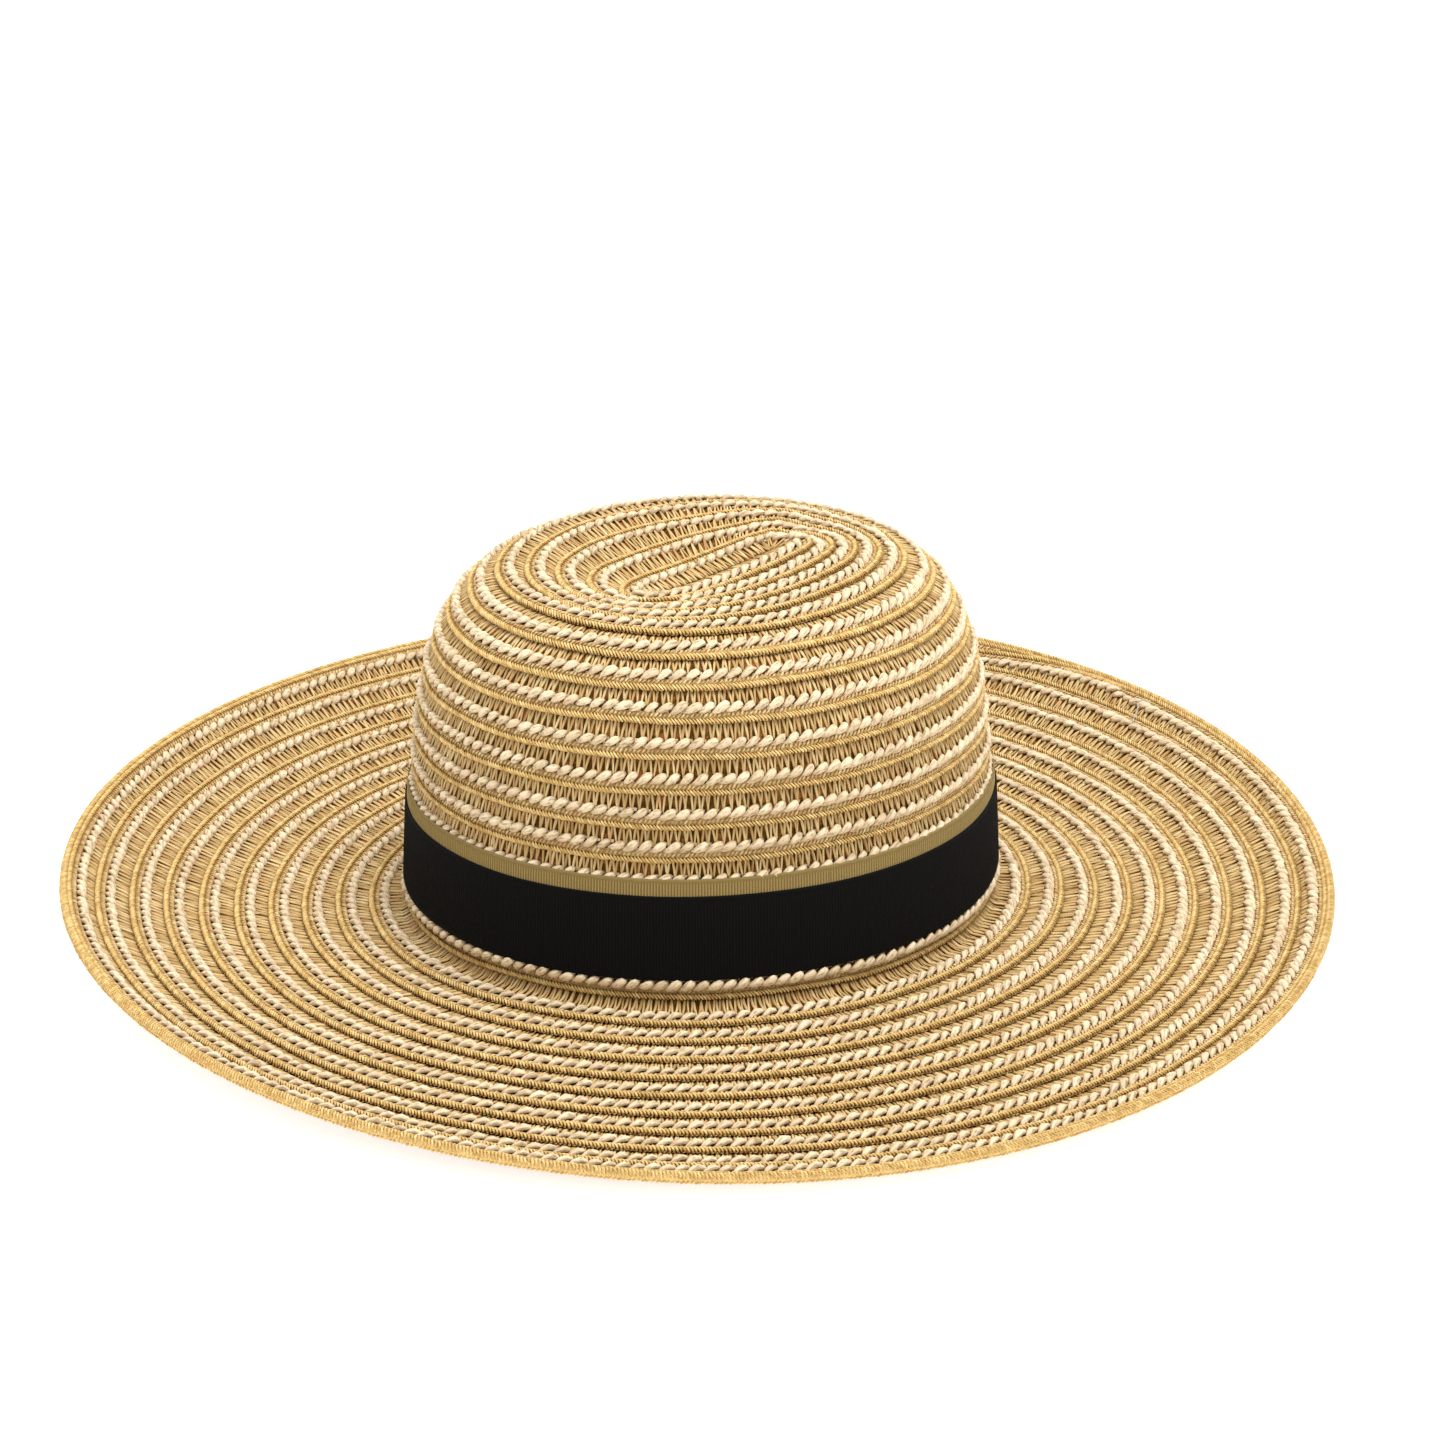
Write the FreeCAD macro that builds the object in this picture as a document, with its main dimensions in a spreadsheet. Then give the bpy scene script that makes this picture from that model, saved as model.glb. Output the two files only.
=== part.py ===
"""Wide-brimmed straw sun hat, as a parametric document.

One long flat braid is wound outwards from a folded start at the crown's tip, down the crown's side
and out over the brim. Each turn laps under the turn before it, like shingles, and is sewn to it.
Every turn is a ring of its own here. Two ribbons go round the foot of the crown, a sweatband is
sewn inside it, and a wire in the outermost turn keeps the brim's shape.

Millimetres. +Z is up, the wearer faces -Y and the wearer's left is +X. The origin is under the
middle of the brim, on the surface that the hat lies on.
"""
import FreeCAD
import Part

import math
import os

from FreeCAD import Placement, Rotation, Vector

DIMENSIONS = [
    # crown: an oval wall that leans in a little, a round shoulder and a nearly flat tip
    ("crown_half_width", 91.1, "half the crown's outside width at the ribbons' lower edge"),
    ("crown_half_length", 98.6, "half its outside length, front to back"),
    ("crown_centre_back", 1.5, "how far the crown sits behind the brim's middle"),
    ("crown_height", 110.5, "from the ribbons' lower edge to the tip"),
    ("crown_taper", 0.05, "lean of the wall, inset per height"),
    ("shoulder_across", 0.385, "exponent of the shoulder's inset"),
    ("shoulder_up", 0.496, "exponent of the shoulder's height"),
    ("tip_dent", 4.0, "depth of a soft hollow in the tip"),
    ("tip_dent_left", 22.5, "its middle, towards the wearer's left of the crown's middle"),
    ("tip_dent_front", 11.0, "its middle, towards the front"),
    ("tip_dent_spread", 28.0, "how far from its middle it has faded to three fifths"),
    # the folded start of the braid
    ("fold_half_length", 38.0, "half the length of the folded start"),
    ("fold_half_width", 12.2, "half its width, two braids side by side"),
    ("fold_squareness", 0.7, "exponent of its outline: 1 is an oval, less is squarer"),
    ("fold_turn", 17.5, "degrees from the crown's long axis"),
    ("fold_left", 12.5, "its middle, towards the wearer's left"),
    ("fold_front", 2.0, "its middle, towards the front"),
    # the turns of braid
    ("braid_thickness", 1.4, "one layer of braid"),
    ("lap_width", 1.5, "how far a turn reaches under the one before it"),
    ("lap_sink", 1.9, "depth of a turn's hidden edge: one layer and the clearance over it"),
    ("tip_lap", 0.04, "share of the tip's depth that a turn there reaches under the next"),
    ("side_row_rise", 10.8, "height of one turn on the crown's side"),
    ("shoulder_row_pitch", 10.8, "width shown by one turn on the shoulder"),
    ("first_row_foot", 6.2, "lower edge of the lowest full turn above the ribbons' edge"),
    ("turn_row_drop", 7.0, "how far the turn at the corner reaches below the ribbons' edge"),
    # the corner between crown and brim
    ("wall_foot", 3.5, "the wall goes on this far below the ribbons' edge"),
    ("corner_radius", 5.0, "hollow corner between wall and brim"),
    # brim
    ("brim_half_width", 209.6, "half the brim's overall width"),
    ("brim_half_length", 209.2, "half its overall length"),
    ("first_brim_row", 8.6, "outer edge of the first turn on the brim, past the corner"),
    ("brim_row_pitch", 11.75, "width shown by one turn on the brim"),
    ("edge_mean", 2.5, "mean height of the brim's edge over the ribbons' lower edge"),
    ("edge_tilt", 8.1, "rise of the edge on one side, and fall on the other"),
    ("edge_tilt_toward", 169.5, "degrees, from the wearer's left, of the highest side"),
    ("edge_wave", 2.1, "two-fold wave of the edge"),
    ("edge_wave_toward", 100.0, "degrees of the wave's crest"),
    ("edge_curl", 1.35, "how much of the rise comes near the edge"),
    ("brim_sag", 5.0, "how far the brim hangs between the crown and the edge, over its width"),
    ("edge_thickness", 3.2, "the outermost turn is folded over the wire"),
    # wire and its joiner
    ("wire_radius", 0.6, "edge wire"),
    ("wire_inset", 2.4, "from the brim's edge to the wire"),
    ("joiner_radius", 0.95, "outside of the sleeve on the wire's ends"),
    ("joiner_wall", 0.25, "wall of the sleeve"),
    ("joiner_length", 24.0, "length of the sleeve"),
    ("tunnel_radius", 1.1, "hollow in the outermost turn"),
    # ribbons, sweatband and threads
    ("ribbon_height", 28.0, "black ribbon"),
    ("under_ribbon_height", 33.5, "khaki ribbon behind it"),
    ("ribbon_thickness", 0.5, "each ribbon"),
    ("ribbon_stand_off", 0.8, "from the crown's surface to the khaki ribbon"),
    ("ribbon_clearance", 0.1, "between the two ribbons"),
    ("ribbon_lap", 26.0, "overlap of the ribbon's ends, at the back"),
    ("sweatband_height", 30.0, "strip inside the crown"),
    ("sweatband_drop", 4.0, "its lower edge, below the ribbons' lower edge"),
    ("sweatband_inset", 3.9, "from the crown's outside to the strip"),
    ("sweatband_thickness", 0.9, "strip"),
    ("sweatband_lap", 18.0, "overlap of the strip's ends, at the back"),
    ("sweatband_seam_rise", 2.0, "from the strip's lower edge to its seam"),
    ("thread_width", 0.5, "seam threads"),
    ("thread_thickness", 0.2, "seam threads"),
    ("thread_clearance", 0.1, "between the sweatband and its thread"),
    ("seam_margin", 0.4, "from a turn's edge to its seam"),
    ("seam_depth", 3.3, "from the outside to a seam's thread, under both layers of a lap"),
    # retail tag's plastic fastener, left in the brim
    ("barb_length", 11.0, "filament on the brim"),
    ("barb_radius", 0.25, "filament"),
    ("barb_head_length", 5.0, "cross bar at its end"),
    ("barb_head_radius", 0.4, "cross bar"),
    ("barb_toward", 101.0, "degrees, from the wearer's left"),
    ("barb_slant", 30.0, "degrees between the filament and straight outwards"),
    ("barb_reach", 98.0, "its inner end, from the corner outwards"),
    ("barb_clearance", 0.8, "between the filament's middle and the braid"),
]

SIDE_ROWS = 7
SHOULDER_ROWS = 3
TIP_ROWS = 4
BRIM_ROWS = 9
SAG_POWER = 6
DENT_POWER = 6
LOOP_POINTS = 48
WIRE_SIDES = 10
FOLD_GRID = 10

doc = FreeCAD.newDocument("StrawSunHat")
sheet = doc.addObject("Spreadsheet::Sheet", "Dimensions")
for line, (alias, value, meaning) in enumerate(DIMENSIONS, start=1):
    sheet.set("A%d" % line, alias)
    sheet.set("B%d" % line, str(value))
    sheet.set("C%d" % line, meaning)
    sheet.setAlias("B%d" % line, alias)
doc.recompute()


def size(alias):
    """One driving dimension, read back from the sheet."""
    return float(sheet.get(alias))


def around(count):
    """Evenly spaced angles of one full turn."""
    return [2 * math.pi * step / count for step in range(count)]


# ---------------------------------------------------------------- the hat's surface

def meridian(share):
    """Inset and height of the crown's profile: share 0 is the ribbons' edge, 1 is the tip."""
    angle = share * math.pi / 2
    rise = math.sin(angle) ** size("shoulder_up")
    lean = size("crown_taper") * size("crown_height")
    across = 1 - max(math.cos(angle), 0.0) ** size("shoulder_across")
    return lean * rise + (size("crown_half_width") - lean) * across, size("crown_height") * rise


def find_share(measure, target):
    """The share of the profile at which an increasing measure of it reaches the target."""
    low, high = 0.0, 1.0
    for _ in range(40):
        middle = (low + high) / 2
        if measure(middle) < target:
            low = middle
        else:
            high = middle
    return (low + high) / 2


def share_at_height(height):
    return find_share(lambda share: meridian(share)[1], height)


def share_at_inset(inset):
    return find_share(lambda share: meridian(share)[0], inset)


def share_after(start, length, steps=60):
    """The share that lies a given length up the profile from another."""
    share, here = start, meridian(start)
    stride = length / steps
    for _ in range(steps):
        nudge = (1 - share) * 1e-3
        ahead = meridian(share + nudge)
        share += nudge * stride / max(math.dist(here, ahead), 1e-9)
        here = meridian(share)
    return share


def dent(x, y, height):
    """How far the soft hollow lowers the crown at a place. It fades out down the crown's side."""
    across = x - size("tip_dent_left")
    along = y - size("crown_centre_back") + size("tip_dent_front")
    spread = (across ** 2 + along ** 2) / (2 * size("tip_dent_spread") ** 2)
    return size("tip_dent") * math.exp(-spread) * (height / size("crown_height")) ** DENT_POWER


def crown_point(angle, share, depth=0.0):
    """A point of the crown, the given depth under its outside."""
    inset, height = meridian(share)
    nudge = 1e-4 * (1 if share < 0.5 else -1)
    inset_there, height_there = meridian(share + nudge)
    along_inset = (inset_there - inset) * (1 if nudge > 0 else -1)
    along_height = (height_there - height) * (1 if nudge > 0 else -1)
    length = math.hypot(along_inset, along_height)
    inset += depth * along_height / length
    height -= depth * along_inset / length
    x = (size("crown_half_width") - inset) * math.cos(angle)
    y = size("crown_centre_back") + (size("crown_half_length") - inset) * math.sin(angle)
    return Vector(x, y, height - dent(x, y, height))


def edge_height(angle):
    tilt = size("edge_tilt") * math.cos(angle - math.radians(size("edge_tilt_toward")))
    wave = size("edge_wave") * math.cos(2 * (angle - math.radians(size("edge_wave_toward"))))
    return size("edge_mean") + tilt + wave


def brim_reach():
    """Width of the brim from the end of the hollow corner to its edge."""
    return size("brim_half_width") - size("crown_half_width") - size("corner_radius")


def brim_point(angle, reach, depth=0.0):
    """A point of the brim, a given way out from the corner and a given depth down."""
    out = reach / brim_reach()
    foot_width = size("crown_half_width") + size("corner_radius")
    foot_length = size("crown_half_length") + size("corner_radius")
    half_width = foot_width + (size("brim_half_width") - foot_width) * out
    half_length = foot_length + (size("brim_half_length") - foot_length) * out
    foot = -size("wall_foot") - size("corner_radius")
    curl = size("edge_curl") * out ** 2 - (size("edge_curl") - 1) * out
    height = foot + (LOWEST_EDGE - foot) * out + (edge_height(angle) - LOWEST_EDGE) * curl
    height -= size("brim_sag") * out * (1 - out ** SAG_POWER)
    return Vector(
        half_width * math.cos(angle),
        size("crown_centre_back") * (1 - out) + half_length * math.sin(angle),
        height - depth,
    )


def corner_point(angle, drop, depth=0.0):
    """A point of the wall's foot and the hollow corner, a given length below the ribbons' edge."""
    radius = size("corner_radius")
    turned = max(drop - size("wall_foot"), 0.0) / radius
    outset = radius * (1 - math.cos(turned)) - depth * math.cos(turned)
    height = -min(drop, size("wall_foot")) - radius * math.sin(turned) - depth * math.sin(turned)
    return Vector(
        (size("crown_half_width") + outset) * math.cos(angle),
        size("crown_centre_back") + (size("crown_half_length") + outset) * math.sin(angle),
        height,
    )


def fold_point(angle):
    """The outline of the folded start, seen from above: a turned oblong with round corners."""
    power = size("fold_squareness")
    across = math.copysign(abs(math.cos(angle)) ** power, math.cos(angle))
    along = math.copysign(abs(math.sin(angle)) ** power, math.sin(angle))
    turn = Rotation(Vector(0, 0, 1), size("fold_turn"))
    middle = Vector(size("fold_left"), size("crown_centre_back") - size("fold_front"), 0)
    return middle + turn.multVec(
        Vector(size("fold_half_width") * across, size("fold_half_length") * along, 0))


def inset_over(point):
    """How far inside the crown's foot a plan position lies."""
    low, high = 0.0, size("crown_half_width") - 0.01
    for _ in range(40):
        middle = (low + high) / 2
        across = point.x / (size("crown_half_width") - middle)
        along = (point.y - size("crown_centre_back")) / (size("crown_half_length") - middle)
        if across ** 2 + along ** 2 < 1:
            low = middle
        else:
            high = middle
    return (low + high) / 2


def on_tip(plan, depth=0.0):
    """The point of the tip straight over or under a plan position."""
    height = meridian(share_at_inset(inset_over(plan)))[1]
    return Vector(plan.x, plan.y, height - dent(plan.x, plan.y, height) - depth)


def tip_point(angle, inward, depth=0.0):
    """A point of the tip: inward 0 is the last oval turn, 1 is the folded start's outline."""
    oval = crown_point(angle, LAST_OVAL)
    return on_tip(oval + (fold_point(angle) - oval) * inward, depth)


LOWEST_EDGE = min(edge_height(angle) for angle in around(360))
BRIM_EDGES = [size("first_brim_row") + size("brim_row_pitch") * row for row in range(BRIM_ROWS)]
SEAM_BOTTOM = size("seam_depth") + size("thread_thickness")
LOWEST_SEAM = min(brim_point(angle, edge, SEAM_BOTTOM).z for edge in BRIM_EDGES for angle in around(120))
FLOOR = min(LOWEST_SEAM, LOWEST_EDGE - size("edge_thickness"))


# ---------------------------------------------------------------- solids

def closed_curve(points):
    curve = Part.BSplineCurve()
    curve.interpolate(Points=points, PeriodicFlag=True)
    return curve.toShape()


def ring_solid(loops):
    """A closed ring whose section's corners run along the given loops, in order."""
    curves = [closed_curve([point - Vector(0, 0, FLOOR) for point in loop]) for loop in loops]
    faces = [
        Part.makeRuledSurface(curve, curves[(place + 1) % len(curves)])
        for place, curve in enumerate(curves)
    ]
    shell = Part.makeShell(faces)
    shell.sewShape()
    solid = Part.makeSolid(shell)
    if solid.Volume < 0:
        solid.reverse()
    return solid


def lapped_ring(inner_point, outer_point, edge_thickness=None, middle_point=None):
    """One turn of braid. Its inner edge lies one layer lower, under the turn before it."""
    layer, sunk = size("braid_thickness"), size("lap_sink")
    rim = layer if edge_thickness is None else edge_thickness
    top = [(inner_point, sunk), (middle_point, sunk / 2), (outer_point, 0.0)]
    bottom = [(outer_point, rim), (middle_point, sunk / 2 + layer), (inner_point, sunk + layer)]
    return ring_solid([
        [point(angle, depth) for angle in around(LOOP_POINTS)]
        for point, depth in top + bottom if point is not None
    ])


def seam_ring(point_near, point_far, depth):
    """A flat seam thread that lies under a lap, between two nearby lines of the surface."""
    turn = around(LOOP_POINTS)
    low = depth + size("thread_thickness")
    return ring_solid([
        [point_near(angle, depth) for angle in turn],
        [point_far(angle, depth) for angle in turn],
        [point_far(angle, low) for angle in turn],
        [point_near(angle, low) for angle in turn],
    ])


def folded_start():
    """The two braids side by side in the tip's middle: a curved slab trimmed to their outline."""
    outline = [fold_point(angle) for angle in around(LOOP_POINTS)]
    middle = sum(outline, Vector(0, 0, 0)) / len(outline)
    reach = size("fold_half_length") + size("fold_half_width")
    steps = [reach * (2 * step / FOLD_GRID - 1) for step in range(FOLD_GRID + 1)]
    surface = Part.BSplineSurface()
    surface.interpolate([
        [on_tip(middle + Vector(across, along, 0)) - Vector(0, 0, FLOOR) for along in steps]
        for across in steps
    ])
    slab = surface.toShape().extrude(Vector(0, 0, -size("braid_thickness")))
    floor_face = Part.Face(Part.Wire(closed_curve(outline)))
    return slab.common(floor_face.extrude(Vector(0, 0, size("crown_height") - 2 * FLOOR)))


def wire_line(angle):
    """The wire's centre line, in the middle of the outermost turn's thickness."""
    return brim_point(angle, brim_reach() - size("wire_inset"), size("edge_thickness") / 2)


def wire_ring(radius):
    """A round rod of the given radius along the wire's centre line."""
    loops = []
    for corner in range(WIRE_SIDES):
        spin = 2 * math.pi * corner / WIRE_SIDES
        loops.append([
            wire_line(angle)
            + Vector(math.cos(angle), math.sin(angle), 0) * (radius * math.cos(spin))
            + Vector(0, 0, radius * math.sin(spin))
            for angle in around(LOOP_POINTS)
        ])
    return ring_solid(loops)


# ---------------------------------------------------------------- parametric pieces

def foot_placement():
    """The crown's own foot: ovals are drawn with their long axis front to back."""
    return Placement(Vector(0, 0, 0), Rotation(Vector(0, 0, 1), 90))


def inset_formula(height):
    """The crown's inset at a height over the ribbons' edge, as an expression."""
    rise = "(%s) / Dimensions.crown_height" % height
    lean = "Dimensions.crown_taper * (%s)" % height
    room = "(Dimensions.crown_half_width - Dimensions.crown_taper * Dimensions.crown_height)"
    drawn = "pow(1 - pow(%s; 2 / Dimensions.shoulder_up); Dimensions.shoulder_across / 2)" % rise
    return "%s + %s * (1 - %s)" % (lean, room, drawn)


def oval(name, height, inset):
    """An oval of the crown at a height, inset from its foot's outline."""
    shape = doc.addObject("Part::Ellipse", name)
    shape.MajorRadius = size("crown_half_length")
    shape.MinorRadius = size("crown_half_width")
    shape.Placement = foot_placement()
    shape.setExpression("MajorRadius", "Dimensions.crown_half_length - (%s)" % inset)
    shape.setExpression("MinorRadius", "Dimensions.crown_half_width - (%s)" % inset)
    shape.setExpression("Placement.Base.y", "Dimensions.crown_centre_back")
    shape.setExpression("Placement.Base.z", "%s - (%r)" % (height, FLOOR))
    return shape


def oval_loft(name, low, high):
    """A solid between two ovals, each given as its height and inset expressions."""
    loft = doc.addObject("Part::Loft", name)
    loft.Sections = [oval(name + "_low", *low), oval(name + "_high", *high)]
    loft.Solid = True
    loft.Ruled = True
    return loft


def oval_band(name, low, high, thickness):
    """A band round the crown, thickness measured inwards from the given insets."""
    band = doc.addObject("Part::Cut", name)
    band.Base = oval_loft(name + "_outside", low, high)
    band.Tool = oval_loft(
        name + "_inside",
        (low[0], "%s + %s" % (low[1], thickness)),
        (high[0], "%s + %s" % (high[1], thickness)),
    )
    return band


def back_lap(name, band, extra_band, lap):
    """A band with its ends overlapped at the back: a second layer over the lap's width."""
    window = doc.addObject("Part::Box", name + "_window")
    window.Placement = Placement(Vector(0, 0, 0), Rotation())
    window.setExpression("Length", lap)
    window.setExpression("Width", "Dimensions.crown_half_length * 2")
    window.setExpression("Height", "Dimensions.crown_height")
    window.setExpression("Placement.Base.x", "-%s / 2" % lap)
    layer = doc.addObject("Part::Common", name + "_layer")
    layer.Base = extra_band
    layer.Tool = window
    whole = doc.addObject("Part::Fuse", name + "_whole")
    whole.Base = band
    whole.Tool = layer
    return whole


def free_form(name, shape):
    """A piece whose surfaces are worked out in code, as no primitive or sweep has its form."""
    feature = doc.addObject("Part::Feature", name)
    feature.Shape = shape
    feature.Placement = Placement(Vector(0, 0, 0), Rotation())
    return feature


pieces = {}


def keep(name, feature):
    feature.Label = name
    pieces[name] = feature


def crown_turn(low, high):
    """One turn of the crown between two shares of its profile, following the profile's curve."""
    return lapped_ring(
        lambda angle, depth: crown_point(angle, high, depth),
        lambda angle, depth: crown_point(angle, low, depth),
        middle_point=lambda angle, depth: crown_point(angle, (low + high) / 2, depth),
    )


# turns on the crown's side, from the lowest up; the highest one already bends into the shoulder
for row in range(1, SIDE_ROWS):
    foot = "Dimensions.first_row_foot + Dimensions.side_row_rise * %d" % (row - 1)
    head = "Dimensions.first_row_foot + Dimensions.side_row_rise * %d + Dimensions.lap_width" % row
    keep("crown_side_row_%d" % row, oval_band(
        "SideRow%d" % row,
        (foot, inset_formula(foot)),
        (head, "%s + Dimensions.lap_sink" % inset_formula(head)),
        "Dimensions.braid_thickness",
    ))
side_top = size("first_row_foot") + size("side_row_rise") * SIDE_ROWS
keep("crown_side_row_%d" % SIDE_ROWS, free_form("SideRow%d" % SIDE_ROWS, crown_turn(
    share_at_height(side_top - size("side_row_rise")),
    share_at_height(side_top + size("lap_width")),
)))

# turns on the shoulder
shoulder_shares = [share_at_height(side_top)]
for row in range(SHOULDER_ROWS):
    shoulder_shares.append(share_after(shoulder_shares[-1], size("shoulder_row_pitch")))
LAST_OVAL = shoulder_shares[-1]
for row in range(SHOULDER_ROWS):
    keep("crown_shoulder_row_%d" % (row + 1), free_form("ShoulderRow%d" % (row + 1), crown_turn(
        shoulder_shares[row],
        share_after(shoulder_shares[row + 1], size("lap_width")),
    )))

# turns on the tip, and the folded start in its middle
for row in range(TIP_ROWS):
    outer, inner = row / TIP_ROWS, (row + 1) / TIP_ROWS + size("tip_lap")
    keep("crown_tip_row_%d" % (row + 1), free_form("TipRow%d" % (row + 1), lapped_ring(
        lambda angle, depth: tip_point(angle, inner, depth),
        lambda angle, depth: tip_point(angle, outer, depth),
    )))

keep("crown_start_fold", free_form("StartFold", folded_start()))

# the turn at the corner between crown and brim
foot_share = share_at_height(size("first_row_foot") + size("lap_width"))
keep("crown_turn_row", free_form("TurnRow", lapped_ring(
    lambda angle, depth: crown_point(angle, foot_share, depth),
    lambda angle, depth: corner_point(angle, size("turn_row_drop"), depth),
)))

# turns on the brim, from the corner outwards
keep("brim_row_1", free_form("BrimRow1", lapped_ring(
    lambda angle, depth: corner_point(angle, size("turn_row_drop") - size("lap_width"), depth),
    lambda angle, depth: brim_point(angle, BRIM_EDGES[0], depth),
)))
for row in range(1, BRIM_ROWS):
    inner, outer = BRIM_EDGES[row - 1] - size("lap_width"), BRIM_EDGES[row]
    keep("brim_row_%d" % (row + 1), free_form("BrimRow%d" % (row + 1), lapped_ring(
        lambda angle, depth: brim_point(angle, inner, depth),
        lambda angle, depth: brim_point(angle, outer, depth),
    )))

# the outermost turn, folded over the wire, with the wire's tunnel in it
edge_inner = BRIM_EDGES[-1] - size("lap_width")
edge_turn = lapped_ring(
    lambda angle, depth: brim_point(angle, edge_inner, depth),
    lambda angle, depth: brim_point(angle, brim_reach(), depth),
    size("edge_thickness"),
)
keep("brim_edge_row", free_form("EdgeRow", edge_turn.cut(wire_ring(size("tunnel_radius")))))
keep("edge_wire", free_form("EdgeWire", wire_ring(size("wire_radius"))))
joiner_box = Part.makeBox(
    size("joiner_length"), size("brim_half_length"), size("crown_height"),
    Vector(-size("joiner_length") / 2, 0, 0),
)
sleeve = wire_ring(size("joiner_radius")).cut(
    wire_ring(size("joiner_radius") - size("joiner_wall")))
keep("edge_wire_joiner", free_form("WireJoiner", sleeve.common(joiner_box)))

# the two ribbons
UNDER_INSET = "-Dimensions.ribbon_stand_off - Dimensions.ribbon_thickness"
OUTER_INSET = "%s - Dimensions.ribbon_clearance - Dimensions.ribbon_thickness" % UNDER_INSET
LAPPED_INSET = "%s - Dimensions.ribbon_thickness" % OUTER_INSET
UNDER_TOP = "Dimensions.under_ribbon_height"
RIBBON_TOP = "Dimensions.ribbon_height"
keep("khaki_ribbon", oval_band(
    "KhakiRibbon",
    ("0", UNDER_INSET),
    (UNDER_TOP, "%s + %s" % (inset_formula(UNDER_TOP), UNDER_INSET)),
    "Dimensions.ribbon_thickness",
))
black_once = oval_band(
    "BlackRibbon",
    ("0", OUTER_INSET),
    (RIBBON_TOP, "%s + %s" % (inset_formula(RIBBON_TOP), OUTER_INSET)),
    "Dimensions.ribbon_thickness",
)
black_twice = oval_band(
    "BlackRibbonEnd",
    ("0", LAPPED_INSET),
    (RIBBON_TOP, "%s + %s" % (inset_formula(RIBBON_TOP), LAPPED_INSET)),
    "Dimensions.ribbon_thickness",
)
keep("black_ribbon", back_lap("BlackLap", black_once, black_twice, "Dimensions.ribbon_lap"))

# sweatband and the seam along its lower edge
BAND_FOOT = "-Dimensions.sweatband_drop"
BAND_HEAD = "Dimensions.sweatband_height - Dimensions.sweatband_drop"
BAND_INSET = "Dimensions.sweatband_inset"
BAND_INSIDE = "Dimensions.sweatband_inset + Dimensions.sweatband_thickness"
SEAM_FOOT = "%s + Dimensions.sweatband_seam_rise" % BAND_FOOT
SEAM_INSET = "%s + Dimensions.thread_clearance" % BAND_INSIDE
sweatband_once = oval_band(
    "Sweatband",
    (BAND_FOOT, BAND_INSET),
    (BAND_HEAD, "%s + %s" % (inset_formula(BAND_HEAD), BAND_INSET)),
    "Dimensions.sweatband_thickness",
)
sweatband_twice = oval_band(
    "SweatbandEnd",
    (BAND_FOOT, BAND_INSIDE),
    (BAND_HEAD, "%s + %s" % (inset_formula(BAND_HEAD), BAND_INSIDE)),
    "Dimensions.sweatband_thickness",
)
keep("sweatband", back_lap(
    "SweatbandLap", sweatband_once, sweatband_twice, "Dimensions.sweatband_lap"))

# threads of the seams that hold the turns together, under their laps
seam_near = size("seam_margin")
seam_far = seam_near + size("thread_width")
crown_threads = []
for row in range(1, SIDE_ROWS):
    foot = size("first_row_foot") + size("side_row_rise") * row
    near, far = share_at_height(foot + seam_near), share_at_height(foot + seam_far)
    crown_threads.append(seam_ring(
        lambda angle, depth: crown_point(angle, near, depth),
        lambda angle, depth: crown_point(angle, far, depth),
        size("seam_depth"),
    ))
keep("crown_row_stitching", free_form("CrownStitching", Part.makeCompound(crown_threads)))
brim_threads = []
for edge in BRIM_EDGES:
    near, far = edge - seam_far, edge - seam_near
    brim_threads.append(seam_ring(
        lambda angle, depth: brim_point(angle, near, depth),
        lambda angle, depth: brim_point(angle, far, depth),
        size("seam_depth"),
    ))
keep("brim_row_stitching", free_form("BrimStitching", Part.makeCompound(brim_threads)))
seam = doc.addObject("Part::Cut", "SweatbandSeamWithoutLap")
seam.Base = oval_band(
    "SweatbandSeam",
    (SEAM_FOOT, SEAM_INSET),
    ("%s + Dimensions.thread_width" % SEAM_FOOT, SEAM_INSET),
    "Dimensions.thread_thickness",
)
seam.Tool = pieces["sweatband"]
keep("sweatband_stitching", seam)

# clear plastic fastener of a retail tag: a filament with a cross bar
barb_angle = math.radians(size("barb_toward"))
barb_start = brim_point(barb_angle, size("barb_reach"), -size("barb_clearance"))
barb_ahead = brim_point(barb_angle, size("barb_reach") + size("barb_length"), -size("barb_clearance"))
slant = Rotation(Vector(0, 0, 1), size("barb_slant"))
barb_direction = slant.multVec(barb_ahead - barb_start)
filament = doc.addObject("Part::Cylinder", "Filament")
filament.Placement = Placement(
    barb_start - Vector(0, 0, FLOOR), Rotation(Vector(0, 0, 1), barb_direction))
filament.setExpression("Radius", "Dimensions.barb_radius")
filament.setExpression("Height", "Dimensions.barb_length")
bar_direction = barb_direction.cross(Vector(0, 0, 1)).normalize()
bar_middle = barb_start + barb_direction.normalize() * size("barb_length")
cross_bar = doc.addObject("Part::Cylinder", "CrossBar")
cross_bar.Placement = Placement(
    bar_middle - bar_direction * (size("barb_head_length") / 2) - Vector(0, 0, FLOOR),
    Rotation(Vector(0, 0, 1), bar_direction))
cross_bar.setExpression("Radius", "Dimensions.barb_head_radius")
cross_bar.setExpression("Height", "Dimensions.barb_head_length")
fastener = doc.addObject("Part::Fuse", "TagFastener")
fastener.Base = filament
fastener.Tool = cross_bar
keep("tag_fastener", fastener)

doc.recompute()

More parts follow.
